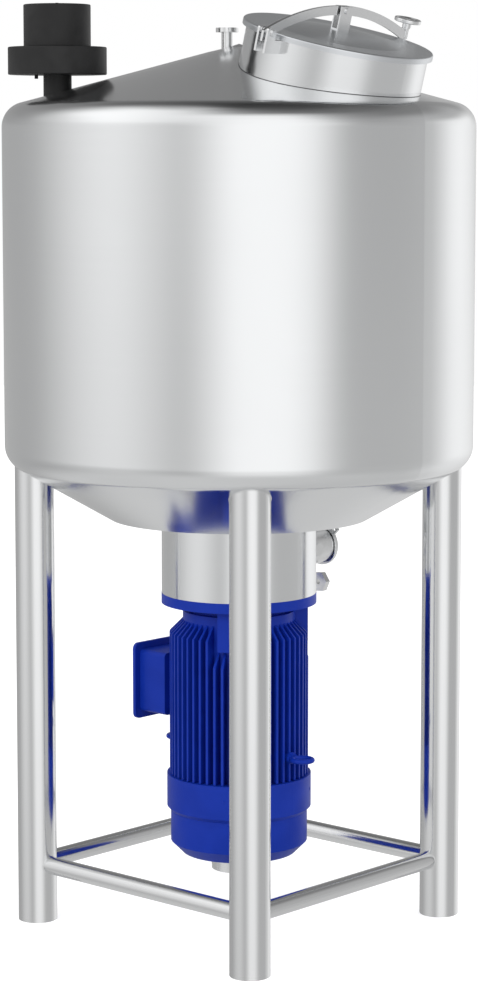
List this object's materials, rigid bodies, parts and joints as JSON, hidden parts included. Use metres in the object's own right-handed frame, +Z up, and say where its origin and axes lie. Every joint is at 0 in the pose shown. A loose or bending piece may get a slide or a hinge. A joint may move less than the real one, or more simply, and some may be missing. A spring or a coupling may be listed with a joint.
{
  "type": "mixing tank",
  "caption": "Stainless mixing tank on four tube legs with an under-mounted finned motor, a hinged manway lid, a vent filter and a cleaning nozzle.",
  "frame": {"origin": "on the tank's vertical axis at floor level, midway between the legs", "axes": "+Z up; +X towards the manway; the manway lid's hinge is on its -Y side, the terminal box is at -X and the outlet at +Y"},
  "size_m": [1.06, 1.06, 2.0855],
  "materials": {
    "vessel_steel": "satin stainless sheet",
    "lid_steel": "satin stainless sheet",
    "tube_steel": "bright stainless tube",
    "fittings_steel": "bright stainless fittings",
    "motor_enamel": "satin blue enamel",
    "vent_black": "matte black",
    "gasket_white": "matte pale rubber"
  },
  "bodies": {
    "vessel": {"tank_shell": "vessel_steel", "roof_cone": "vessel_steel", "bottom_cone": "vessel_steel", "bottom_plate": "vessel_steel", "leg_front_left": "tube_steel", "leg_front_right": "tube_steel", "leg_back_left": "tube_steel", "leg_back_right": "tube_steel", "rail_front": "tube_steel", "rail_back": "tube_steel", "rail_left": "tube_steel", "rail_right": "tube_steel", "lantern_barrel": "vessel_steel", "motor_flange": "motor_enamel", "motor_frame": "motor_enamel", "end_shield": "motor_enamel", "fan_cowl": "motor_enamel", "fan": "motor_enamel", "cowl_stub": "fittings_steel", "terminal_box": "motor_enamel", "terminal_cover": "motor_enamel", "eyebolt_left": "motor_enamel", "eyebolt_right": "motor_enamel", "vent_stem": "vent_black", "vent_pan": "vent_black", "vent_cap": "vent_black", "cleaning_nozzle": "fittings_steel", "nozzle_cap": "fittings_steel", "manway_neck": "vessel_steel", "hinge_bracket": "fittings_steel", "hinge_pin": "fittings_steel", "clamp_cradle": "fittings_steel", "outlet_pipe": "fittings_steel", "outlet_valve": "fittings_steel", "valve_handle": "fittings_steel", "shaft_seal": "fittings_steel", "stirrer": "fittings_steel"},
    "lid": {"lid_gasket": "gasket_white", "manway_lid": "lid_steel", "lid_bracket": "fittings_steel", "bracket_pin": "fittings_steel", "lid_arm": "fittings_steel", "clamp_bolt": "fittings_steel"},
    "washer": {"clamp_washer": "fittings_steel"},
    "knob": {"hand_knob": "fittings_steel"}
  },
  "joints": [
    {"name": "lid_hinge", "type": "hinge", "parent": "vessel", "child": "lid", "pos_m": [0.29078, -0.231, 2.00917], "axis": [0.9659, 0, -0.2588], "range_deg": [0, 100]},
    {"name": "knob_rise", "type": "slide", "parent": "lid", "child": "washer", "axis": [0.2588, 0, 0.9659], "range_m": [0, 0.0045]},
    {"name": "knob_turn", "type": "hinge", "parent": "washer", "child": "knob", "pos_m": [0.29388, 0.226, 2.02077], "axis": [0.2588, 0, 0.9659], "range_deg": [0, 1080]}
  ],
  "couplings": [
    {"joint": "knob_rise", "follows": "knob_turn", "m_per_rad": 0.00023873}
  ]
}
